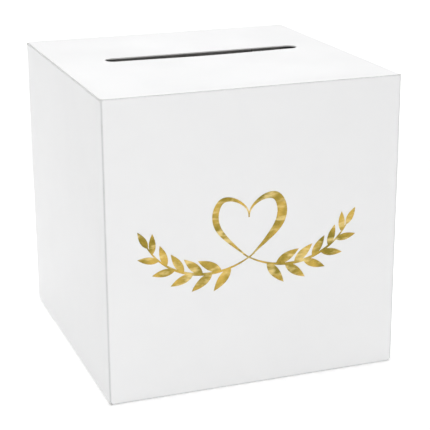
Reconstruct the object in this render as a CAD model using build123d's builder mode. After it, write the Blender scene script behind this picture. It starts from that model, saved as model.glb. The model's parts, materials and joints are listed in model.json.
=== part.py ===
"""Card box for a wedding table: a cube folded from one sheet of white paperboard.

The sleeve of four walls is glued along one seam, the bottom snaps shut with a tongue, and the lid
turns on a score line along the back and tucks in behind the front wall. Lengths are in millimetres.
The origin is at the middle of the footprint, on the surface that the box stands on. X runs along
the front wall, the front faces -Y, and Z is up.
"""

from build123d import *
import math
import os

# ---- Sleeve ----
SIDE = 254.0  # outer width, depth and height of the closed box
BOARD = 1.0  # thickness of the paperboard
FOLD_RADIUS = 1.5  # outer radius of the folds that never open
HINGE_REACH = 0.8  # from a score line's axis to the edge of the panel that turns on it
CREASE_INSET = 2.0  # how far a fold stops short of the box's outer faces
GLUE_WIDTH = 30.0
GLUE_END_TAPER = 12.0
TAPE_WIDTH = 18.0
TAPE_THICKNESS = 0.15
TAPE_END_MARGIN = 18.0

# ---- Lid, tuck flap and dust flaps ----
SLOT_LENGTH = 178.0
SLOT_WIDTH = 15.0
SLOT_CENTRE = (6.0, 16.0)  # X, Y of the card slot on the lid
LID_SIDE_GAP = 0.5  # the lid is this much narrower than the box on each side
LID_FRONT_GAP = 0.3  # between the lid's front fold and the front wall's inner face
LID_CORNER_RADIUS = 1.5
TUCK_DEPTH = 40.0  # of the flap behind the front wall
TUCK_LEAN = 8.0  # degrees that the tuck flap leans away from the front wall
TUCK_TAPER = 2.5  # each side of the tuck flap, from its fold to its free edge
TUCK_CORNER_RADIUS = 20.0
DUST_REACH = 28.0  # of a dust flap, from its score line towards the slot
DUST_DROP = 0.3  # gap between the lid and the dust flaps under it
DUST_FRONT = -119.0  # Y of a dust flap's front corner
DUST_BACK = 122.0  # Y of a dust flap's back corner
DUST_FRONT_RAKE = 6.0  # a dust flap's front edge moves back by this much over its reach
DUST_BACK_RAKE = 20.0  # and its back edge moves forward by this much
DUST_CORNER_RADIUS = 6.0

# ---- Bottom flaps ----
TONGUE_HALF_WIDTH = 50.0
TONGUE_SLIT = 4.0  # beside the tongue, so that it can bend up
TONGUE_ROOT = -8.0  # Y where the tongue starts to rise
TONGUE_LANDING = 17.0  # Y where it lies flat on the back flap
TONGUE_TIP = 40.0  # Y of its free edge
TONGUE_CORNER_RADIUS = 12.0
FRONT_FLAP_EDGE = 20.0  # Y of the front flap's shoulders
BACK_FLAP_EDGE = -12.0  # Y of the back flap's legs
NOTCH_EDGE = 20.0  # Y of the bottom of the back flap's notch
FLAP_SIDE_TAPER = 6.0  # each side of the front and back flaps
FLAP_CORNER_RADIUS = 4.0
SIDE_FLAP_SHOULDER = 62.0  # X from the middle to a side flap's straight inner edge
SIDE_FLAP_FRONT = -58.0  # Y where that edge starts
HOOK_TIP = 12.0  # X from the middle to the end of a side flap's hook
HOOK_FRONT = 22.0  # Y of the hook's front edge
HOOK_BACK = 60.0  # Y of its back corner

# ---- Foil ornament: X and Y here are measured from its middle ----
FOIL_THICKNESS = 0.12
FOIL_CENTRE = (-6.0, 134.0)  # X, Z of the ornament's middle on the front wall
HAIRLINE = 1.1  # width of a stroke at its ends
STROKE_STATIONS = 12
HEART_STROKE = [(0, 13), (9, 27), (23, 29), (29, 15), (20, -3), (0, -22)]
HEART_STROKE_WIDTHS = (8.5, 5.5)  # of the right and the left half
STEM = [(5, -18), (-12, -27), (-40, -31), (-68, -22), (-87, -2)]
STEM_WIDTH = 2.4
LEAF_LENGTH = 24.0
LEAF_WIDTH = 8.4
LEAF_COUNT = 10  # on each stem, on its two sides in turn
LEAF_START = 0.22  # share of the stem before the first leaf
LEAF_SHRINK = 0.3  # how much smaller the leaves get towards the tip
TIP_LEAF_START = 0.985  # share of the stem where the leaf on its tip starts
LEAF_SPREADS = (-34.0, 38.0)  # degrees between the stem and a leaf below or above it

# ---- Places that follow from the sizes ----
HALF = SIDE / 2
INNER = HALF - BOARD  # from the middle to a wall's inner face
MIDDLE = HALF - BOARD / 2  # from the middle to a wall's mid-thickness
FOLD_CENTRE = HALF - FOLD_RADIUS
CREASE_HALF = HALF - CREASE_INSET
GLUE_OUTER = INNER - TAPE_THICKNESS  # Y of the glue flap's face that takes the tape
GLUE_FOLD_Y = GLUE_OUTER - FOLD_RADIUS
LID_AXIS_Z = SIDE - BOARD / 2
LID_BACK_Y = MIDDLE - HINGE_REACH
TUCK_AXIS_Y = -INNER + LID_FRONT_GAP + BOARD / 2
LID_FRONT_Y = TUCK_AXIS_Y + HINGE_REACH
TUCK_WIDTH = 2 * CREASE_HALF - BOARD
DUST_TOP = SIDE - BOARD - DUST_DROP
DUST_AXIS_Z = DUST_TOP - BOARD / 2
DUST_CREASE_LENGTH = 2 * (CREASE_HALF - BOARD)
SIDE_TOP = DUST_AXIS_Z - HINGE_REACH
# The bottom flaps lie on each other: front, sides, back, and the tongue on top.
FRONT_LEVEL = 0.0
SIDE_LEVEL = BOARD
BACK_LEVEL = 2 * BOARD
TONGUE_LEVEL = 3 * BOARD
FRONT_BASE = FRONT_LEVEL + FOLD_RADIUS
SIDE_BASE = SIDE_LEVEL + FOLD_RADIUS
BACK_BASE = BACK_LEVEL + FOLD_RADIUS
SLIT_OUTER = TONGUE_HALF_WIDTH + TONGUE_SLIT
FLAP_HALF = CREASE_HALF - FLAP_SIDE_TAPER
SIDE_FLAP_HALF = CREASE_HALF - CREASE_INSET


def write(builder, name):
    """Label a finished piece and write it to its own STEP file."""
    builder.part.label = name
    export_step(builder.part, "parts/" + name + ".step")


def wall(centre, across, along, base, top):
    """A flat upright panel: across and along are its sizes in X and Y."""
    with BuildPart() as panel:
        with BuildSketch(Plane.XY.offset(base)):
            with Locations(centre):
                Rectangle(across, along)
        extrude(amount=top - base)
    return panel


def fold_strip(plane, turn, length):
    """A strip of board bent through a quarter turn about the plane's normal.

    The strip runs from the plane's origin for its length, and turn is where the bend starts.
    """
    with BuildPart() as strip:
        with BuildSketch(plane):
            with BuildLine():
                outer = CenterArc((0, 0), FOLD_RADIUS, turn, 90)
                inner = CenterArc((0, 0), FOLD_RADIUS - BOARD, turn, 90)
                Line(outer @ 0, inner @ 0)
                Line(outer @ 1, inner @ 1)
            make_face()
        extrude(amount=length)
    return strip


def score_strip(plane, length):
    """The rounded edge of board that a panel turns on.

    The plane's origin is the middle of the turning axis and its normal runs along that axis. The
    board that holds the strip lies towards the plane's -Y.
    """
    with BuildPart() as strip:
        with BuildSketch(plane):
            Circle(BOARD / 2)
            with Locations((0, -HINGE_REACH / 2)):
                Rectangle(BOARD, HINGE_REACH)
        extrude(amount=length / 2, both=True)
    return strip


os.makedirs("parts", exist_ok=True)

# ---- Sleeve: four walls ----
front_wall = wall((0, -MIDDLE), 2 * FOLD_CENTRE, BOARD, FRONT_BASE, SIDE)
write(front_wall, "front_wall")

# The back wall's right edge is the cut edge at the glued seam.
back_wall = wall(
    ((HALF - FOLD_CENTRE) / 2, MIDDLE), HALF + FOLD_CENTRE, BOARD, BACK_BASE, LID_AXIS_Z - HINGE_REACH
)
write(back_wall, "back_wall")

left_wall = wall((-MIDDLE, 0), BOARD, 2 * FOLD_CENTRE, SIDE_BASE, SIDE_TOP)
write(left_wall, "left_wall")

right_wall = wall(
    (MIDDLE, (GLUE_FOLD_Y - FOLD_CENTRE) / 2), BOARD, GLUE_FOLD_Y + FOLD_CENTRE, SIDE_BASE, SIDE_TOP
)
write(right_wall, "right_wall")

# ---- Sleeve: folded vertical edges ----
# A name, the middle of the bend, where its quarter turn starts, and its two ends in Z.
upright_folds = [
    ("front_left_crease", (-FOLD_CENTRE, -FOLD_CENTRE), 180, SIDE_BASE, SIDE),
    ("front_right_crease", (FOLD_CENTRE, -FOLD_CENTRE), 270, SIDE_BASE, SIDE),
    ("back_right_crease", (FOLD_CENTRE, GLUE_FOLD_Y), 0, BACK_BASE, DUST_TOP),
    ("back_left_crease", (-FOLD_CENTRE, FOLD_CENTRE), 90, BACK_BASE, DUST_TOP),
]
for name, (x, y), turn, base, top in upright_folds:
    write(fold_strip(Plane((x, y, base)), turn, top - base), name)

# ---- Sleeve: glue flap and its adhesive strip, inside the back wall ----
glue_plane = Plane((0, GLUE_OUTER, 0), x_dir=(1, 0, 0), z_dir=(0, -1, 0))
glue_inner_x = FOLD_CENTRE - GLUE_WIDTH
with BuildPart() as glue_flap:
    with BuildSketch(glue_plane):
        with BuildLine():
            Polyline(
                (FOLD_CENTRE, BACK_BASE),
                (FOLD_CENTRE, DUST_TOP - BOARD),
                (glue_inner_x, DUST_TOP - GLUE_END_TAPER),
                (glue_inner_x, BACK_BASE + GLUE_END_TAPER),
                close=True,
            )
        make_face()
    extrude(amount=BOARD)
write(glue_flap, "glue_flap")

with BuildPart() as glue_tape:
    with BuildSketch(glue_plane):
        with Locations((glue_inner_x + GLUE_WIDTH / 2, (BACK_BASE + DUST_TOP) / 2)):
            Rectangle(TAPE_WIDTH, DUST_TOP - BACK_BASE - 2 * TAPE_END_MARGIN)
    extrude(amount=-TAPE_THICKNESS)
write(glue_tape, "glue_tape")

# ---- Bottom: folded edges, each one board higher than the flap folded under it ----
front_fold = Plane((-CREASE_HALF, -FOLD_CENTRE, FRONT_BASE), x_dir=(0, 1, 0), z_dir=(1, 0, 0))
write(fold_strip(front_fold, 180, 2 * CREASE_HALF), "bottom_front_crease")

back_fold = Plane((-CREASE_HALF, FOLD_CENTRE, BACK_BASE), x_dir=(0, 1, 0), z_dir=(1, 0, 0))
write(fold_strip(back_fold, 270, 2 * CREASE_HALF), "bottom_back_crease")

for side_name, hand, turn in (("left", -1, 180), ("right", 1, 270)):
    side_fold = Plane((hand * FOLD_CENTRE, SIDE_FLAP_HALF, SIDE_BASE), x_dir=(1, 0, 0), z_dir=(0, -1, 0))
    write(fold_strip(side_fold, turn, 2 * SIDE_FLAP_HALF), "bottom_" + side_name + "_crease")

# ---- Bottom: front flap with its locking tongue ----
with BuildPart() as bottom_front_flap:
    with BuildSketch(Plane.XY.offset(FRONT_LEVEL)) as front_outline:
        with BuildLine():
            Polyline(
                (-CREASE_HALF, -FOLD_CENTRE),
                (CREASE_HALF, -FOLD_CENTRE),
                (FLAP_HALF, FRONT_FLAP_EDGE),
                (SLIT_OUTER, FRONT_FLAP_EDGE),
                (SLIT_OUTER, TONGUE_ROOT),
                (-SLIT_OUTER, TONGUE_ROOT),
                (-SLIT_OUTER, FRONT_FLAP_EDGE),
                (-FLAP_HALF, FRONT_FLAP_EDGE),
                close=True,
            )
        make_face()
        fillet(front_outline.vertices().group_by(Axis.Y)[-1], FLAP_CORNER_RADIUS)
    extrude(amount=BOARD)
    # The tongue climbs through the back flap's notch and lies on top of that flap.
    with BuildSketch(Plane.YZ):
        with BuildLine():
            Polyline(
                (TONGUE_ROOT, FRONT_LEVEL),
                (TONGUE_LANDING, TONGUE_LEVEL),
                (TONGUE_TIP, TONGUE_LEVEL),
                (TONGUE_TIP, TONGUE_LEVEL + BOARD),
                (TONGUE_LANDING, TONGUE_LEVEL + BOARD),
                (TONGUE_ROOT, FRONT_LEVEL + BOARD),
                close=True,
            )
        make_face()
    extrude(amount=TONGUE_HALF_WIDTH, both=True)
    tongue_corners = bottom_front_flap.edges().filter_by(Axis.Z).group_by(Axis.Y)[-1]
    fillet(tongue_corners, TONGUE_CORNER_RADIUS)
write(bottom_front_flap, "bottom_front_flap")

# ---- Bottom: back flap with the notch ----
with BuildPart() as bottom_back_flap:
    with BuildSketch(Plane.XY.offset(BACK_LEVEL)) as back_outline:
        with BuildLine():
            Polyline(
                (-CREASE_HALF, FOLD_CENTRE),
                (CREASE_HALF, FOLD_CENTRE),
                (FLAP_HALF, BACK_FLAP_EDGE),
                (SLIT_OUTER, BACK_FLAP_EDGE),
                (SLIT_OUTER, NOTCH_EDGE),
                (-SLIT_OUTER, NOTCH_EDGE),
                (-SLIT_OUTER, BACK_FLAP_EDGE),
                (-FLAP_HALF, BACK_FLAP_EDGE),
                close=True,
            )
        make_face()
        fillet(back_outline.vertices().group_by(Axis.Y)[0], FLAP_CORNER_RADIUS)
    extrude(amount=BOARD)
write(bottom_back_flap, "bottom_back_flap")


# ---- Bottom: side flaps, each hooked under the back flap ----
def side_flap(hand):
    """One bottom side flap; hand is -1 for the left and 1 for the right."""
    with BuildPart() as flap:
        with BuildSketch(Plane.XY.offset(SIDE_LEVEL)) as outline:
            with BuildLine():
                Polyline(
                    (hand * FOLD_CENTRE, -SIDE_FLAP_HALF),
                    (hand * SIDE_FLAP_SHOULDER, SIDE_FLAP_FRONT),
                    (hand * SIDE_FLAP_SHOULDER, HOOK_FRONT),
                    (hand * HOOK_TIP, HOOK_FRONT),
                    (hand * HOOK_TIP, HOOK_BACK),
                    (hand * SIDE_FLAP_SHOULDER, SIDE_FLAP_HALF),
                    (hand * FOLD_CENTRE, SIDE_FLAP_HALF),
                    close=True,
                )
            make_face()
            free_corners = [v for v in outline.vertices() if abs(v.X) < FOLD_CENTRE - BOARD]
            fillet(free_corners, FLAP_CORNER_RADIUS)
        extrude(amount=BOARD)
    return flap


write(side_flap(-1), "bottom_left_flap")
write(side_flap(1), "bottom_right_flap")

# ---- Lid: the panel with the card slot ----
with BuildPart() as lid_panel:
    with BuildSketch(Plane.XY.offset(SIDE - BOARD)):
        with Locations((0, (LID_FRONT_Y + LID_BACK_Y) / 2)):
            RectangleRounded(2 * (HALF - LID_SIDE_GAP), LID_BACK_Y - LID_FRONT_Y, LID_CORNER_RADIUS)
        with Locations(SLOT_CENTRE):
            SlotOverall(SLOT_LENGTH, SLOT_WIDTH, mode=Mode.SUBTRACT)
    extrude(amount=BOARD)
write(lid_panel, "lid_panel")

# ---- Lid: score lines at the back, held by the back wall, and at the front, held by the lid ----
lid_hinge = Plane((0, MIDDLE, LID_AXIS_Z), x_dir=(0, 1, 0), z_dir=(1, 0, 0))
write(score_strip(lid_hinge, 2 * CREASE_HALF), "lid_hinge_crease")

tuck_hinge = Plane((0, TUCK_AXIS_Y, LID_AXIS_Z), x_dir=(0, 0, 1), z_dir=(1, 0, 0))
write(score_strip(tuck_hinge, TUCK_WIDTH), "lid_front_crease")

# ---- Lid: tuck flap, which leans in from the front score line ----
tuck_plane = Plane((0, TUCK_AXIS_Y, LID_AXIS_Z), x_dir=(1, 0, 0), z_dir=(0, -1, 0))
with BuildPart() as lid_tuck_flap:
    with BuildSketch(tuck_plane.rotated((TUCK_LEAN, 0, 0))) as tuck_outline:
        with BuildLine():
            Polyline(
                (-TUCK_WIDTH / 2, -HINGE_REACH),
                (TUCK_WIDTH / 2, -HINGE_REACH),
                (TUCK_WIDTH / 2 - TUCK_TAPER, -TUCK_DEPTH),
                (TUCK_TAPER - TUCK_WIDTH / 2, -TUCK_DEPTH),
                close=True,
            )
        make_face()
        fillet(tuck_outline.vertices().group_by(Axis.Y)[0], TUCK_CORNER_RADIUS)
    extrude(amount=BOARD / 2, both=True)
write(lid_tuck_flap, "lid_tuck_flap")


# ---- Top: dust flaps under the lid ----
def dust_flap(hand):
    """One dust flap; hand is -1 for the left and 1 for the right."""
    root_x = hand * (MIDDLE - HINGE_REACH)
    edge_x = hand * (MIDDLE - DUST_REACH)
    with BuildPart() as flap:
        with BuildSketch(Plane.XY.offset(DUST_TOP - BOARD)) as outline:
            with BuildLine():
                Polyline(
                    (root_x, DUST_FRONT),
                    (edge_x, DUST_FRONT + DUST_FRONT_RAKE),
                    (edge_x, DUST_BACK - DUST_BACK_RAKE),
                    (root_x, DUST_BACK),
                    close=True,
                )
            make_face()
            free_corners = outline.vertices().group_by(Axis.X)[0 if hand > 0 else -1]
            fillet(free_corners, DUST_CORNER_RADIUS)
        extrude(amount=BOARD)
    return flap


for side_name, hand in (("left", -1), ("right", 1)):
    write(dust_flap(hand), side_name + "_dust_flap")
    dust_hinge = Plane((hand * MIDDLE, 0, DUST_AXIS_Z), x_dir=(-1, 0, 0), z_dir=(0, 1, 0))
    write(score_strip(dust_hinge, DUST_CREASE_LENGTH), side_name + "_dust_crease")


# ---- Foil ornament: an open heart whose two strokes cross and run out into sprays of leaves ----
def stroke(points, width):
    """A pen stroke along a curve through the points, a hairline at both ends."""
    with BuildLine():
        path = Spline(points)
    left_side = []
    right_side = []
    for station in range(STROKE_STATIONS + 1):
        share = station / STROKE_STATIONS
        half_width = (HAIRLINE + (width - HAIRLINE) * math.sin(math.pi * share) ** 2) / 2
        across = (path % share).rotate(Axis.Z, 90) * half_width
        left_side.append((path @ share) + across)
        right_side.append((path @ share) - across)
    with BuildSketch() as face:
        with BuildLine():
            left_edge = Spline(left_side)
            right_edge = Spline(right_side)
            Line(left_edge @ 0, right_edge @ 0)
            Line(left_edge @ 1, right_edge @ 1)
        make_face()
    return face.sketch


def leaf(size):
    """A leaf that points along +X from the origin; size is its share of the full length."""
    length = size * LEAF_LENGTH
    width = size * LEAF_WIDTH
    with BuildSketch() as face:
        with BuildLine() as outline:
            Bezier((0, 0), (0.3 * length, 0.8 * width), (0.72 * length, 0.42 * width), (length, 0))
            mirror(outline.line, about=Plane.XZ)
        make_face()
    return face.sketch


def spray():
    """The left stem with leaves on its two sides in turn and one leaf at the tip."""
    with BuildLine():
        stem = Spline(STEM)
    with BuildSketch() as face:
        add(stroke(STEM, STEM_WIDTH))
        for index in range(LEAF_COUNT):
            share = LEAF_START + (1 - LEAF_START) * index / LEAF_COUNT
            turn = stem.tangent_angle_at(share) - LEAF_SPREADS[index % 2]
            with Locations(Location(tuple(stem @ share), (0, 0, turn))):
                add(leaf(1 - LEAF_SHRINK * index / LEAF_COUNT))
        tip_turn = stem.tangent_angle_at(TIP_LEAF_START)
        with Locations(Location(tuple(stem @ TIP_LEAF_START), (0, 0, tip_turn))):
            add(leaf(1 - LEAF_SHRINK))
    return face.sketch


def mirrored(points):
    """The same points on the other side of the ornament's middle."""
    return [(-x, y) for x, y in points]


foil_plane = Plane((FOIL_CENTRE[0], -HALF, FOIL_CENTRE[1]), x_dir=(1, 0, 0), z_dir=(0, -1, 0))
with BuildPart() as gold_foil_ornament:
    with BuildSketch(foil_plane):
        add(stroke(HEART_STROKE, HEART_STROKE_WIDTHS[0]))
        add(stroke(mirrored(HEART_STROKE), HEART_STROKE_WIDTHS[1]))
        left_spray = spray()
        add(left_spray)
        add(mirror(left_spray, about=Plane.YZ, mode=Mode.PRIVATE))
    extrude(amount=FOIL_THICKNESS)
write(gold_foil_ornament, "gold_foil_ornament")
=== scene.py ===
import json
import math

import bmesh
import bpy
from mathutils import Matrix, Vector, noise
from mathutils.geometry import delaunay_2d_cdt


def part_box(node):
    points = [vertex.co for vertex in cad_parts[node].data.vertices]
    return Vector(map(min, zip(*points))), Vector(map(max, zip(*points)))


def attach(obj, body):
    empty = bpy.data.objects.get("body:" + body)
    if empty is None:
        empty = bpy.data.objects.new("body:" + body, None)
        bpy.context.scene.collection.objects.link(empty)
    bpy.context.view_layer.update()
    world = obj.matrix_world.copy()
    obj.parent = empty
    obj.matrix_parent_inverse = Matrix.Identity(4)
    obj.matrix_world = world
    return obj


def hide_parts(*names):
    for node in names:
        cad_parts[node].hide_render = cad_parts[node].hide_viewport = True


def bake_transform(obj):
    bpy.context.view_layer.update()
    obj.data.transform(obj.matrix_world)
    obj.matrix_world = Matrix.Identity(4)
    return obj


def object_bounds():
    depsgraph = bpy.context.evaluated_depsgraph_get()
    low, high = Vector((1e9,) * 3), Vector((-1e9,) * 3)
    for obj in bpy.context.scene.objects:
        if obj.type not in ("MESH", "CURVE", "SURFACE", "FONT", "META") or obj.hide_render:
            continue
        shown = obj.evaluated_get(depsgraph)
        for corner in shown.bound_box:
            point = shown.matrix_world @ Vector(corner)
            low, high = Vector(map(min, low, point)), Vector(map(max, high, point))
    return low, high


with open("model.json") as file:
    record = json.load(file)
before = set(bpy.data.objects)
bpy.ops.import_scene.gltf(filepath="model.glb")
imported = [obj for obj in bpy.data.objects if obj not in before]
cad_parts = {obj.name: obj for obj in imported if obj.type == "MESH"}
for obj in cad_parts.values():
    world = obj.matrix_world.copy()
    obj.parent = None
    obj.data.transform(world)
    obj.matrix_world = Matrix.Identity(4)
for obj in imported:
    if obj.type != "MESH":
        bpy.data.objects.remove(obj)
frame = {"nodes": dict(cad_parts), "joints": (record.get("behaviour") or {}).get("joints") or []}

CAD_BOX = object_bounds()

# A wedding card box folded from one sheet of coated white board. Every panel is rebuilt on the
# outline of its CAD node, with a coated outer face, a bare inner face and cut edges, and with the
# slight hollow that a board panel takes between its folds. Lengths are in metres.

MM = 0.001
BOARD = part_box("front_wall")[1].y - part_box("front_wall")[0].y
HALF_BOARD = BOARD / 2
X, Y, Z = Vector((1, 0, 0)), Vector((0, 1, 0)), Vector((0, 0, 1))

GRID = 8 * MM  # spacing of a piece's inner points
RIM_CLEARANCE = 0.4 * GRID  # how far inner points stay from a panel's outline
SAME_PLACE = 0.001 * MM  # points of the CAD this close together are one point
CLOSE = 0.1 * MM  # a point this near to a level is on it
FACING = 0.5  # least cosine between a direction and the normal of a face that looks along it
STRAIGHT = 1 - 1e-7  # cosine of a turn that is too slight to be a corner
TRIANGLES_TO_HULL, CUT_TOLERANCE = 0, 1e-9  # what delaunay_2d_cdt fills, and its least distance
SHARP_ANGLE = math.radians(40)  # a surface that turns by more has an edge
OUTER, INNER, RIM = 0, 1, 2  # the kinds of faces, each the index of its material in a piece

WALL_HOLLOW = 0.5 * MM
LID_HOLLOW = 0.15 * MM
UNEVEN_SHARE, WAVES_PER_METRE = 0.5, 12.0  # a hollow's unevenness, and how often it changes
LIP_SAG = 0.6 * MM
LIP_REACH = 30 * MM  # how far forward of the slot the lid still sags
FOLD_STEPS = 10  # across a fold
SHARPEST_BEND = 0.02 * MM  # least inner radius of a fold
FOIL_SNAP = 0.03 * MM  # points of the foil this close to a cut are on it
FOIL_WELD = 0.01 * MM  # points of the cut foil this close together are joined

FLOOR_RADIUS, FLOOR_SIDES = 2.2, 96
FLOOR_LEVEL = -0.1 * MM  # just under the box
POOL_GLOW, POOL_END = 0.26, 0.7  # the glow under the box, and the distance at which it ends
RISE_START, RISE_END = 0.6, 1.2  # between these distances the floor's glow rises again
RISE_GLOW, FAR_GLOW = 0.38, 0.45  # what it rises by, and by how much more out to the rim
SENSOR_WIDTH = 36.0  # of the camera, in millimetres

# A colour Mix node has sockets of the same name for each data type: these are its colour ones.
MIX_COLOURS, MIX_RESULT = (6, 7), 2
MOST_NOISE = (0.3, 0.7)  # most of a noise's values lie between these


# ---- Materials ----
class Shader:
    """A material's node tree with its Principled shader, and short calls that add nodes to it."""

    def __init__(self, name):
        self.material = bpy.data.materials.new(name)
        self.material.use_nodes = True
        self.tree = self.material.node_tree
        self.surface = self.tree.nodes["Principled BSDF"]
        self.place = self.add("ShaderNodeTexCoord").outputs["Object"]

    def add(self, kind, **values):
        node = self.tree.nodes.new(kind)
        for name, value in values.items():
            setattr(node, name, value)
        return node

    def feed(self, socket, value):
        """A constant, or another node's output, into a socket."""
        if isinstance(value, bpy.types.NodeSocket):
            self.tree.links.new(value, socket)
        else:
            socket.default_value = value

    def set(self, **sockets):
        """The Principled shader's sockets, by name with _ for a space."""
        for name, value in sockets.items():
            self.feed(self.surface.inputs[name.replace("_", " ")], value)

    def noise(self, scale, detail, place=None):
        """Noise with about scale features to a metre, finer by detail octaves."""
        node = self.add("ShaderNodeTexNoise")
        node.inputs["Scale"].default_value = scale
        node.inputs["Detail"].default_value = detail
        self.feed(node.inputs["Vector"], place or self.place)
        return node.outputs["Fac"]

    def stretched(self, x, y, z):
        """The object's coordinates, stretched by a factor along each axis."""
        node = self.add("ShaderNodeMapping")
        node.inputs["Scale"].default_value = (x, y, z)
        self.feed(node.inputs["Vector"], self.place)
        return node.outputs["Vector"]

    def math(self, operation, first, second=0.0):
        node = self.add("ShaderNodeMath", operation=operation)
        self.feed(node.inputs[0], first)
        self.feed(node.inputs[1], second)
        return node.outputs["Value"]

    def spread(self, value, low, high, to_low=0.0, to_high=1.0):
        """value from low to high becomes to_low to to_high, held at both ends."""
        node = self.add("ShaderNodeMapRange")
        limits = {"From Min": low, "From Max": high, "To Min": to_low, "To Max": to_high}
        for name, limit in limits.items():
            node.inputs[name].default_value = limit
        self.feed(node.inputs["Value"], value)
        return node.outputs["Result"]

    def mix(self, share, first, second):
        """A colour between two; each is a tuple or another node's output."""
        node = self.add("ShaderNodeMix", data_type="RGBA")
        self.feed(node.inputs["Factor"], share)
        for index, value in zip(MIX_COLOURS, (first, second)):
            self.feed(node.inputs[index], (*value, 1.0) if isinstance(value, tuple) else value)
        return node.outputs[MIX_RESULT]

    def bump(self, height, distance, strength, under=None):
        """A normal that follows height, up to a distance in metres, on top of the one under it."""
        node = self.add("ShaderNodeBump")
        node.inputs["Strength"].default_value = strength
        node.inputs["Distance"].default_value = distance
        self.feed(node.inputs["Height"], height)
        if under is not None:
            self.feed(node.inputs["Normal"], under)
        return node.outputs["Normal"]

    def near_box_edge(self, start, end=1.0):
        """0 over the panels, rising to 1 at the box's edges; limits are shares of its half size."""
        parts = self.add("ShaderNodeSeparateXYZ")
        self.feed(parts.inputs["Vector"], self.place)
        shares = []
        for low, high, letter in zip(*CAD_BOX, "XYZ"):
            offset = self.math("SUBTRACT", parts.outputs[letter], (low + high) / 2)
            shares.append(self.math("DIVIDE", self.math("ABSOLUTE", offset), (high - low) / 2))
        # A point is at an edge where two of its three shares are near 1: the second largest tells.
        larger = self.math("MAXIMUM", shares[0], shares[1])
        smaller = self.math("MINIMUM", shares[0], shares[1])
        second = self.math("MAXIMUM", smaller, self.math("MINIMUM", larger, shares[2]))
        return self.spread(second, start, end)


COAT, COAT_SHADE = (0.893, 0.894, 0.896), (0.884, 0.885, 0.889)


def coated_board(name, band_start, darker_tone):
    """Clay-coated white board: smooth and satin, with a faint mottle and a trace of handling.

    At the box's edges it turns to a darker given tone: a little edge wear on most panels, and on the
    front wall painted shade; band_start is the share of the box's half size from which it does so.
    """
    shader = Shader(name)
    mottle = shader.noise(45.0, 4.0)
    fine = shader.noise(900.0, 2.0)
    colour = shader.mix(shader.spread(mottle, 0.35, 0.7), COAT, COAT_SHADE)
    patchy = shader.spread(fine, *MOST_NOISE, 0.4, 1.0)
    # The band at the box's edges: edge wear, and on the front wall painted shade.
    band = shader.math("MULTIPLY", shader.near_box_edge(band_start), patchy)
    colour = shader.mix(band, colour, darker_tone)
    handled = shader.spread(shader.noise(14.0, 5.0), 0.45, 0.75, 0.0, 0.09)
    rough = shader.math("ADD", handled, shader.spread(fine, *MOST_NOISE, 0.36, 0.44))
    waves = shader.bump(shader.noise(70.0, 2.0), 0.25 * MM, 0.12)
    tooth = shader.bump(shader.noise(2600.0, 2.0), 0.03 * MM, 0.35, waves)
    shader.set(Base_Color=colour, Roughness=rough, Normal=tooth, Specular_IOR_Level=0.42)
    return shader.material


def bare_board():
    """The uncoated inner face: greyer, warmer, matte, with short fibres that lie along the grain."""
    shader = Shader("board_bare")
    pale, deep, fleck = (0.76, 0.75, 0.725), (0.7, 0.69, 0.663), (0.55, 0.5, 0.42)
    fibres = shader.noise(1.0, 4.0, shader.stretched(2200.0, 2200.0, 260.0))
    specks = shader.spread(shader.noise(1300.0, 2.0), 0.66, 0.74)
    colour = shader.mix(shader.spread(fibres, *MOST_NOISE), pale, deep)
    colour = shader.mix(shader.math("MULTIPLY", specks, 0.35), colour, fleck)
    shader.set(
        Base_Color=colour,
        Roughness=shader.spread(fibres, *MOST_NOISE, 0.78, 0.92),
        Normal=shader.bump(fibres, 0.08 * MM, 0.6),
        Specular_IOR_Level=0.25,
    )
    return shader.material


def cut_edge(name, core, torn_core, face):
    """A die-cut edge: its core and its face plies, with a slightly torn surface."""
    shader = Shader(name)
    torn = shader.noise(1500.0, 4.0)
    plies = shader.noise(6000.0, 2.0)
    colour = shader.mix(shader.spread(torn, *MOST_NOISE), core, torn_core)
    colour = shader.mix(shader.spread(plies, 0.5, 0.66, 0.0, 0.5), colour, face)
    shader.set(
        Base_Color=colour,
        Roughness=shader.spread(torn, *MOST_NOISE, 0.8, 0.95),
        Normal=shader.bump(torn, 0.1 * MM, 0.7),
        Specular_IOR_Level=0.2,
    )
    return shader.material


def folded_board(name, pressed_and_shaded, broken_coat):
    """The coated face over a fold: dented by the scoring rule, with short cracks in the coating;
    along the box's edges it takes the given colour, painted shade on the shut and tuck folds.
    """
    shader = Shader(name)
    cracks = shader.spread(shader.noise(900.0, 5.0), 0.52, 0.62)
    broken = shader.spread(shader.noise(60.0, 3.0), 0.35, 0.65)
    worn = shader.math("MULTIPLY", cracks, broken)
    dulled = tuple(0.94 * value for value in pressed_and_shaded)
    colour = shader.mix(broken, pressed_and_shaded, dulled)
    colour = shader.mix(shader.math("MULTIPLY", worn, 0.5), colour, broken_coat)
    shader.set(
        # Away from the box's edges the fold keeps the coat's colour; along them it takes the given
        # colour with its painted shade.
        Base_Color=shader.mix(shader.near_box_edge(0.987, 0.9945), COAT, colour),
        Roughness=shader.spread(worn, 0.0, 1.0, 0.45, 0.75),
        Normal=shader.bump(cracks, 0.05 * MM, 0.6),
        Specular_IOR_Level=0.4,
    )
    return shader.material


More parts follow.
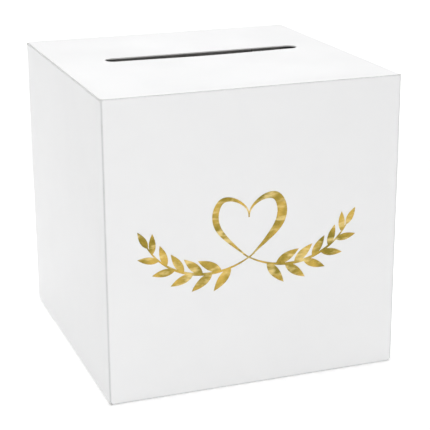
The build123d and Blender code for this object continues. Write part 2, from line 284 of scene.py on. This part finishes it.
def foil():
    """Hot-stamped gold foil: a bright film with faint wrinkles and pinholes of wear, its colour
    carrying painted highlights in streaks and painted shade in clouds.
    """
    shader = Shader("gold_foil")
    shadow, body = (0.28, 0.213, 0.034), (0.65, 0.44, 0.1)
    glint, darker_tone = (0.88, 0.7, 0.3), (0.36, 0.27, 0.1)
    cloud = shader.noise(55.0, 3.0)
    streak = shader.noise(1.0, 4.0, shader.stretched(90.0, 90.0, 230.0))
    gold = shader.mix(shader.spread(cloud, 0.38, 0.62), shadow, body)
    gold = shader.mix(shader.spread(streak, 0.5, 0.68, 0.0, 0.8), gold, glint)
    worn = shader.spread(shader.noise(1700.0, 3.0), 0.68, 0.76)
    gold = shader.mix(shader.math("MULTIPLY", worn, 0.55), gold, darker_tone)
    wrinkles = shader.bump(shader.noise(420.0, 3.0), 0.12 * MM, 0.3)
    grain = shader.bump(shader.noise(2600.0, 2.0), 0.02 * MM, 0.5, wrinkles)
    shader.set(
        Base_Color=gold,
        Metallic=1.0,
        Roughness=shader.spread(streak, *MOST_NOISE, 0.24, 0.4),
        Normal=grain,
    )
    return shader.material


def adhesive():
    """Double-sided tape: a cloudy, slightly yellow film with fine bubbles."""
    shader = Shader("adhesive_tape")
    bubbles = shader.spread(shader.noise(700.0, 3.0), 0.55, 0.7)
    colour = shader.mix(bubbles, (0.82, 0.79, 0.66), (0.9, 0.89, 0.82))
    shader.set(
        Base_Color=colour,
        Roughness=shader.spread(bubbles, 0.0, 1.0, 0.35, 0.6),
        Normal=shader.bump(bubbles, 0.05 * MM, 0.5),
    )
    return shader.material


COATED = coated_board("board_coated", 0.975, (0.865, 0.866, 0.87))
# The front wall's edges darken to a deep grey: painted shade for the gap under the lid and beside
# the folds.
RIM_SHADED = coated_board("board_coated_shaded_rim", 0.988, (0.62, 0.622, 0.63))
BARE = bare_board()
# The walls' cut edges: a grey core, darkened further as painted shade for the gap under the lid.
WALL_EDGE_SHADED = cut_edge("board_cut_edge_shaded", (0.46, 0.45, 0.43), (0.37, 0.362, 0.345), (0.74, 0.735, 0.72))
# The lid's cut edges: the same board painted near white, painted light that hides the shade in the
# gaps at the lid's sides.
LID_EDGE_LIT = cut_edge("lid_cut_edge_lit", (0.93, 0.928, 0.92), (0.87, 0.866, 0.855), (0.93, 0.93, 0.926))
# The shut folds: a pressed crease, darkened further as painted shade along the box's edges.
SHUT_FOLD_SHADED = folded_board("board_folded_shaded", (0.67, 0.672, 0.68), (0.58, 0.575, 0.56))
# The tuck fold: dark grey, a painted shadow of the gap between the lid and the front wall.
TUCK_FOLD_SHADOW = folded_board("tuck_fold", (0.48, 0.482, 0.49), (0.44, 0.435, 0.42))
LID_FOLD = folded_board("lid_fold", (0.88, 0.881, 0.884), (0.8, 0.795, 0.78))
# A piece's materials are for its outer face, its inner face and its rim.
WALL_MATERIALS = (COATED, BARE, WALL_EDGE_SHADED)
FRONT_MATERIALS = (RIM_SHADED, BARE, WALL_EDGE_SHADED)
LID_MATERIALS = (COATED, BARE, LID_EDGE_LIT)
SHUT_FOLD_MATERIALS = (SHUT_FOLD_SHADED, BARE, WALL_EDGE_SHADED)
LID_FOLD_MATERIALS = (LID_FOLD, BARE, LID_EDGE_LIT)
TUCK_FOLD_MATERIALS = (TUCK_FOLD_SHADOW, BARE, LID_EDGE_LIT)


# ---- Panels ----
def node_mesh(node):
    """A CAD node's mesh to work on, with the points that are in the same place joined."""
    mesh = bmesh.new()
    mesh.from_mesh(frame["nodes"][node].data)
    bmesh.ops.remove_doubles(mesh, verts=mesh.verts, dist=SAME_PLACE)
    return mesh


def outline_loops(node, normal):
    """The outline and the cut-outs of a node's face that looks along normal, as lists of points."""
    mesh = node_mesh(node)
    mesh.normal_update()

    def facing(face):
        return face.normal.dot(normal) >= FACING

    following = {}
    for face in filter(facing, mesh.faces):
        for loop in face.loops:
            if not any(facing(other) for other in loop.edge.link_faces if other is not face):
                following[loop.vert] = loop.link_loop_next.vert
    loops = []
    while following:
        start, vert = following.popitem()
        points = [start.co.copy()]
        while vert is not start:
            points.append(vert.co.copy())
            vert = following.pop(vert)
        loops.append(points)
    mesh.free()
    return loops


def straightened(points):
    """The outline without the points that lie in the middle of a straight run."""
    kept = []
    for index, point in enumerate(points):
        before = point - points[index - 1]
        after = points[(index + 1) % len(points)] - point
        if before.normalized().dot(after.normalized()) < STRAIGHT:
            kept.append(point)
    return kept


def subdivided(points):
    """The outline with its long runs cut into equal steps of about the grid's spacing."""
    result = []
    for index, point in enumerate(points):
        run = points[(index + 1) % len(points)] - point
        steps = max(1, round(run.length / GRID))
        result.extend(point + run * (step / steps) for step in range(steps))
    return result


def inside(point, loops):
    """Even-odd test of a flat point against the outline and its cut-outs."""
    crossings = 0
    for loop in loops:
        for index, end in enumerate(loop):
            start = loop[index - 1]
            if (start.y > point.y) != (end.y > point.y):
                along = (point.y - start.y) / (end.y - start.y)
                crossings += point.x < start.x + along * (end.x - start.x)
    return crossings % 2 == 1


def clearance(point, loops):
    """Distance from a flat point to the nearest outline run."""
    nearest = math.inf
    for loop in loops:
        for index, end in enumerate(loop):
            start = loop[index - 1]
            run = end - start
            share = max(0.0, min(1.0, (point - start).dot(run) / run.length_squared))
            nearest = min(nearest, (point - start - run * share).length)
    return nearest


def enclosed(triangles, runs):
    """The triangles that the outline encloses: on the way in, each run crossed changes sides."""
    fences = {frozenset(run) for run in runs}
    edges = [[frozenset((t[i - 1], t[i])) for i in range(3)] for t in triangles]
    owners = {}
    for index, own_edges in enumerate(edges):
        for edge in own_edges:
            owners.setdefault(edge, []).append(index)
    within = {}
    waiting = [(found[0], edge in fences) for edge, found in owners.items() if len(found) == 1]
    while waiting:
        index, side = waiting.pop()
        if index in within:
            continue
        within[index] = side
        for edge in edges[index]:
            waiting.extend((other, side != (edge in fences)) for other in owners[edge])
    return [t for index, t in enumerate(triangles) if within[index]]


def flattened(point, across, up):
    """A point's flat place in a panel's own frame."""
    return Vector((point.dot(across), point.dot(up)))


def extent(points):
    """The lowest and the highest X and Y of points, as two flat corners."""
    low = Vector((min(p.x for p in points), min(p.y for p in points)))
    high = Vector((max(p.x for p in points), max(p.y for p in points)))
    return low, high


def filled(loops):
    """Flat outline loops filled with triangles: the points, the triangles and the outline's runs."""
    points = [point for loop in loops for point in loop]
    runs = []
    for loop in loops:
        rim = range(len(runs), len(runs) + len(loop))
        runs.extend([(rim[i - 1], rim[i]) for i in range(len(rim))])
    low, high = extent(points)
    columns = math.ceil((high.x - low.x) / GRID)
    rows = math.ceil((high.y - low.y) / GRID)
    for column in range(1, columns):
        for row in range(1, rows):
            share = Vector((column / columns, row / rows))
            point = Vector((low.x + (high.x - low.x) * share.x, low.y + (high.y - low.y) * share.y))
            if inside(point, loops) and clearance(point, loops) > RIM_CLEARANCE:
                points.append(point)
    cut = delaunay_2d_cdt(points, runs, [], TRIANGLES_TO_HULL, CUT_TOLERANCE, False)
    return cut[0], enclosed(cut[2], runs), runs


def new_object(name, data):
    piece = bpy.data.objects.new(name, data)
    bpy.context.scene.collection.objects.link(piece)
    return piece


def shade(mesh):
    """Smooth shading, kept sharp where the surface turns by more than SHARP_ANGLE."""
    mesh.normal_update()
    for face in mesh.faces:
        face.smooth = True
    for edge in mesh.edges:
        edge.smooth = len(edge.link_faces) == 2 and edge.calc_face_angle(0.0) < SHARP_ANGLE


def board_piece(name, node, points, faces, kinds, materials):
    """A piece of board in place of its CAD node; kinds says which material each face takes."""
    data = bpy.data.meshes.new(name)
    data.from_pydata(points, [], faces)
    for material in materials:
        data.materials.append(material)
    data.polygons.foreach_set("material_index", kinds)
    mesh = bmesh.new()
    mesh.from_mesh(data)
    bmesh.ops.recalc_face_normals(mesh, faces=mesh.faces)
    shade(mesh)
    mesh.to_mesh(data)
    mesh.free()
    piece = new_object(name, data)
    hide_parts(node)
    return piece


def panel(name, node, normal, across, lift, materials=WALL_MATERIALS):
    """A board panel on its CAD node's outline.

    normal is the coated face's outward direction and across the panel's own X. lift(x, y) is how
    far the panel is pushed back from its CAD face at a point of the panel's own frame.
    """
    up = normal.cross(across)
    loops = [subdivided(straightened(loop)) for loop in outline_loops(node, normal)]
    face_depth = max(point.dot(normal) for loop in loops for point in loop)
    flat_loops = [[flattened(point, across, up) for point in loop] for loop in loops]
    flat_points, triangles, runs = filled(flat_loops)

    def placed(point, depth):
        height = face_depth - depth - lift(point.x, point.y)
        return across * point.x + up * point.y + normal * height

    count = len(flat_points)
    points = [placed(point, depth) for depth in (0.0, BOARD) for point in flat_points]
    faces = [tuple(t) for t in triangles]
    faces += [tuple(corner + count for corner in reversed(t)) for t in triangles]
    faces += [(end, start, start + count, end + count) for start, end in runs]
    kinds = [OUTER] * len(triangles) + [INNER] * len(triangles) + [RIM] * len(runs)
    return board_piece(name, node, points, faces, kinds, materials)


def no_lift(x, y):
    return 0.0


def hollow(node, across, up, depth, seed):
    """A lift that hollows a panel between its folds by depth, a little unevenly."""
    low, high = extent([flattened(corner, across, up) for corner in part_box(node)])

    def lift(x, y):
        along = (x - low.x) / (high.x - low.x)
        height = (y - low.y) / (high.y - low.y)
        dome = math.sin(math.pi * along) ** 2 * math.sin(math.pi * height) ** 2
        uneven = noise.noise(Vector((x, y, seed * MM)) * WAVES_PER_METRE)
        return depth * dome * (1.0 + UNEVEN_SHARE * uneven)

    return lift


front_lift = hollow("front_wall", X, Z, WALL_HOLLOW, 1)
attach(panel("front_panel", "front_wall", -Y, X, front_lift, FRONT_MATERIALS), "box")
# A name, its node, the coated face's direction, the panel's own X, and the seed of its unevenness.
for name, node, normal, across, seed in (
    ("back_panel", "back_wall", Y, -X, 2),
    ("left_panel", "left_wall", -X, -Y, 3),
    ("right_panel", "right_wall", X, Y, 4),
):
    lift = hollow(node, across, Z, WALL_HOLLOW, seed)
    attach(panel(name, node, normal, across, lift), "box")
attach(panel("glue_panel", "glue_flap", Y, -X, no_lift), "box")


# ---- Bottom flaps ----
def tongue_lift():
    """The front flap's lift: its tongue climbs smoothly to the top of the back flap.

    The tongue's width and the Y where its climb starts and ends are read from the CAD node. The
    panel's own Y runs towards the front, so -y is the box's Y.
    """
    corners = [vertex.co for vertex in frame["nodes"]["bottom_front_flap"].data.vertices]
    low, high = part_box("bottom_front_flap")
    climbing = [c for c in corners if c.z > low.z + BOARD + CLOSE]
    half_width = max(abs(c.x) for c in climbing)
    landing = min(c.y for c in climbing if c.z > high.z - CLOSE)
    root = max(c.y for c in corners if c.z < low.z + CLOSE and abs(c.x) <= half_width + CLOSE)
    climb = high.z - low.z - BOARD

    def lift(x, y):
        if abs(x) > half_width or -y < root:
            return 0.0
        share = min(1.0, (-y - root) / (landing - root))
        return climb * share * share * (3 - 2 * share)

    return lift


for name, node, lift in (
    ("bottom_outer_panel", "bottom_front_flap", tongue_lift()),
    ("bottom_left_panel", "bottom_left_flap", no_lift),
    ("bottom_right_panel", "bottom_right_flap", no_lift),
    ("bottom_inner_panel", "bottom_back_flap", no_lift),
):
    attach(panel(name, node, -Z, X, lift), "box")


# ---- Lid, tuck flap and dust flaps ----
def card_slot():
    """The flat corners of the lid's cut-out, its shortest loop from front to back."""
    extents = [extent(loop) for loop in outline_loops("lid_panel", Z)]
    return min(extents, key=lambda corners: corners[1].y - corners[0].y)


SLOT_LOW, SLOT_HIGH = card_slot()
lid_hollow = hollow("lid_panel", X, Y, LID_HOLLOW, 5)


def lid_lift(x, y):
    """The lid's shallow hollow, and the sag of the unsupported board in front of the card slot."""
    along = (x - SLOT_LOW.x) / (SLOT_HIGH.x - SLOT_LOW.x)
    if not 0 < along < 1 or y >= (SLOT_LOW.y + SLOT_HIGH.y) / 2:
        return lid_hollow(x, y)
    ahead = max(0.0, SLOT_LOW.y - y) / LIP_REACH
    sag = LIP_SAG * math.sin(math.pi * along) ** 2 * math.exp(-ahead * ahead)
    return sag + lid_hollow(x, y)


def broad_face_normal(node, towards):
    """The direction of a flat node's broad face, on the side that looks towards a direction."""
    faces = [face for face in frame["nodes"][node].data.polygons if face.normal.dot(towards) > 0]
    return max(faces, key=lambda face: face.area).normal.normalized()


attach(panel("lid_top", "lid_panel", Z, X, lid_lift, LID_MATERIALS), "lid")
for side in ("left", "right"):
    node = side + "_dust_flap"
    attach(panel(side + "_dust_panel", node, Z, X, no_lift, LID_MATERIALS), node)
tuck_normal = broad_face_normal("lid_tuck_flap", -Y)
tuck = panel("lid_tuck_panel", "lid_tuck_flap", tuck_normal, X, no_lift, LID_MATERIALS)
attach(tuck, "tuck_flap")


# ---- Folds ----
JOINTS = {joint["name"]: joint for joint in frame["joints"]}
# How far from a joint's axis its two panels end; it is the same at all four joints.
HINGE_REACH = JOINTS["lid_hinge"]["pos_m"][2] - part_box("lid_hinge_crease")[0].z


def fold(name, node, corner, first, second, reach, materials):
    """A bent strip of board between two panels, as long as its CAD node.

    corner is where the two panels' middle planes meet; first and second point from it into the
    panels, and reach is how far from it the strip ends.
    """
    low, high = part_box(node)
    axis = Vector([abs(part) for part in first.cross(second).normalized()])
    along = axis * (high - low).dot(axis)
    corner = corner + axis * (low - corner).dot(axis)
    half_angle = first.angle(second) / 2
    radius = reach * math.tan(half_angle)
    centre = corner + (first + second).normalized() * radius / math.sin(half_angle)
    start = (corner + first * reach - centre) / radius
    end = (corner + second * reach - centre) / radius
    turn = start.angle(end)
    outer_arc = []
    inner_arc = []
    for step in range(FOLD_STEPS + 1):
        share = step / FOLD_STEPS
        out = (math.sin((1 - share) * turn) * start + math.sin(share * turn) * end).normalized()
        outer_arc.append(centre + out * (radius + HALF_BOARD))
        inner_arc.append(centre + out * max(radius - HALF_BOARD, SHARPEST_BEND))
    # The section goes round: out along the outer arc, over one rim, back along the inner arc.
    section = outer_arc + inner_arc[::-1]
    kinds_round = [OUTER] * FOLD_STEPS + [RIM] + [INNER] * FOLD_STEPS + [RIM]
    count = len(section)
    rows = max(1, round(along.length / GRID))
    points = [point + along * (row / rows) for row in range(rows + 1) for point in section]
    faces = []
    for base in range(0, rows * count, count):
        for here in range(count):
            near, far = base + here, base + (here + 1) % count
            faces.append((near, far, far + count, near + count))
    kinds = kinds_round * rows
    for base in (0, rows * count):
        for step in range(FOLD_STEPS):
            outer = base + step
            inner = base + count - 1 - step
            faces.append((outer, outer + 1, inner - 1, inner))
            kinds.append(RIM)
    return board_piece(name, node, points, faces, kinds, materials)


def fixed_fold(place, first, second):
    """A fold that stays shut: its outer corner is the node's corner away from both panels."""
    node = place + "_crease"
    low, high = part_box(node)
    inwards = first + second
    away = Vector([most if part < 0 else least for least, most, part in zip(low, high, inwards)])
    corner = away + inwards * HALF_BOARD
    reach = abs((high - low).dot(first)) - HALF_BOARD
    piece = fold(place + "_fold", node, corner, first, second, reach, SHUT_FOLD_MATERIALS)
    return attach(piece, "box")


def turning_fold(name, node, joint_name, first, second, materials=LID_FOLD_MATERIALS):
    """A fold about a joint's axis: it bends from the parent's panel (first) to the child's."""
    joint = JOINTS[joint_name]
    axis = Vector(joint["pos_m"])
    piece = fold(name, node, axis, first, second, HINGE_REACH, materials)
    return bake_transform(piece)


for place, first, second in (
    ("front_left", Y, X),
    ("front_right", Y, -X),
    ("back_left", -Y, X),
    ("back_right", -Y, -X),
    ("bottom_front", Z, Y),
    ("bottom_back", Z, -Y),
    ("bottom_left", Z, X),
    ("bottom_right", Z, -X),
):
    fixed_fold(place, first, second)

tuck_down = -tuck_normal.cross(X)
turning_fold("lid_hinge_fold", "lid_hinge_crease", "lid_hinge", -Z, -Y)
turning_fold("lid_front_fold", "lid_front_crease", "tuck_fold", Y, tuck_down, TUCK_FOLD_MATERIALS)
turning_fold("left_dust_fold_strip", "left_dust_crease", "left_dust_fold", -Z, X)
turning_fold("right_dust_fold_strip", "right_dust_crease", "right_dust_fold", -Z, -X)


# ---- Foil and tape ----
def foil_piece():
    """The foil of the CAD, cut along a grid so that it follows the hollowed front wall."""
    mesh = node_mesh("gold_foil_ornament")
    low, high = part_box("gold_foil_ornament")
    for direction in (X, Z):
        start, end = low.dot(direction), high.dot(direction)
        steps = math.ceil((end - start) / GRID)
        for step in range(1, steps):
            place = direction * (start + (end - start) * step / steps)
            geometry = mesh.verts[:] + mesh.edges[:] + mesh.faces[:]
            bmesh.ops.bisect_plane(
                mesh, geom=geometry, plane_co=place, plane_no=direction, dist=FOIL_SNAP
            )
    bmesh.ops.remove_doubles(mesh, verts=mesh.verts, dist=FOIL_WELD)
    for vert in mesh.verts:
        vert.co.y += front_lift(vert.co.x, vert.co.z)
    shade(mesh)
    data = bpy.data.meshes.new("gold_foil_motif")
    mesh.to_mesh(data)
    mesh.free()
    data.materials.append(foil())
    piece = new_object("gold_foil_motif", data)
    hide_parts("gold_foil_ornament")
    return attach(piece, "box")


foil_piece()

# The tape keeps its CAD shape.
tape = frame["nodes"]["glue_tape"].data
tape.materials.clear()
tape.materials.append(adhesive())


# ---- Floor, light and camera ----
def floor():
    """A round white paper sweep that glows a little, under the box and again far out."""
    mesh = bpy.data.meshes.new("floor")
    turns = [2 * math.pi * side / FLOOR_SIDES for side in range(FLOOR_SIDES)]
    rim = [
        (FLOOR_RADIUS * math.cos(turn), FLOOR_RADIUS * math.sin(turn), FLOOR_LEVEL) for turn in turns
    ]
    mesh.from_pydata(rim, [], [tuple(range(FLOOR_SIDES))])
    shader = Shader("floor_paper")
    measure = shader.add("ShaderNodeVectorMath", operation="LENGTH")
    shader.feed(measure.inputs[0], shader.place)
    distance = measure.outputs["Value"]
    pool = shader.spread(distance, 0.0, POOL_END, POOL_GLOW, 0.0)
    rise = shader.spread(distance, RISE_START, RISE_END, 0.0, RISE_GLOW)
    far_rise = shader.spread(distance, RISE_END, FLOOR_RADIUS, 0.0, FAR_GLOW)
    shader.set(
        Base_Color=shader.mix(shader.noise(3.0, 2.0), (0.95, 0.95, 0.95), (0.93, 0.93, 0.93)),
        Roughness=0.9,
        Emission_Color=(1.0, 1.0, 1.0, 1.0),
        Emission_Strength=shader.math("ADD", pool, shader.math("ADD", rise, far_rise)),
    )
    mesh.materials.append(shader.material)
    new_object("floor", mesh)


def softbox(name, place, aim, size, watts):
    light = bpy.data.lights.new(name, "AREA")
    light.shape = "DISK"
    light.size = size
    light.energy = watts
    lamp = new_object(name, light)
    lamp.location = place
    lamp.rotation_euler = (Vector(aim) - Vector(place)).to_track_quat("-Z", "Y").to_euler()
    lamp.visible_camera = False


def studio_world(light, backdrop):
    """An even white surround: light is what it casts, and backdrop is how bright it looks."""
    world = bpy.data.worlds.new("studio")
    world.use_nodes = True
    nodes, links = world.node_tree.nodes, world.node_tree.links
    background = nodes["Background"]
    background.inputs["Color"].default_value = (1.0, 1.0, 1.0, 1.0)
    seen = nodes.new("ShaderNodeLightPath")
    level = nodes.new("ShaderNodeMapRange")
    level.inputs["To Min"].default_value = light
    level.inputs["To Max"].default_value = backdrop
    links.new(seen.outputs["Is Camera Ray"], level.inputs["Value"])
    links.new(level.outputs["Result"], background.inputs["Strength"])
    bpy.context.scene.world = world


def camera(eye, azimuth, elevation, roll, lens):
    """Looks from eye, in degrees off the front face's normal and off level; lens in millimetres."""
    azimuth, elevation, roll = math.radians(azimuth), math.radians(elevation), math.radians(roll)
    side, level = math.sin(azimuth), math.cos(azimuth)
    ahead = Vector((-side * math.cos(elevation), level * math.cos(elevation), -math.sin(elevation)))
    right = Vector((level, side, 0))
    up = right.cross(ahead)
    tilted_right = math.cos(roll) * right + math.sin(roll) * up
    tilted_up = math.cos(roll) * up - math.sin(roll) * right
    data = bpy.data.cameras.new("camera")
    data.sensor_width = SENSOR_WIDTH
    data.lens = lens
    turn = Matrix((tilted_right, tilted_up, -ahead)).transposed()
    viewer = new_object("camera", data)
    viewer.matrix_world = Matrix.Translation(eye) @ turn.to_4x4()
    bpy.context.scene.camera = viewer


floor()
studio_world(light=0.1, backdrop=1.0)
softbox("top_softbox", place=(0.1, 0.2, 1.7), aim=(0, 0, 0.1), size=3.0, watts=46.3)
softbox("front_softbox", place=(-0.83, -2.34, 0.746), aim=(0, 0, 0.1), size=0.26, watts=18.0)
softbox("left_softbox", place=(-0.75, 0.6, 0.3), aim=(-0.12, 0, 0.12), size=0.5, watts=1.2)
# The eye stands left of the front face and above the lid, rolled very slightly.
camera(eye=(-0.38681, -1.09117, 0.48495), azimuth=-20.02, elevation=17.96, roll=-0.28, lens=112.98)
bpy.context.scene.view_settings.view_transform = "Standard"
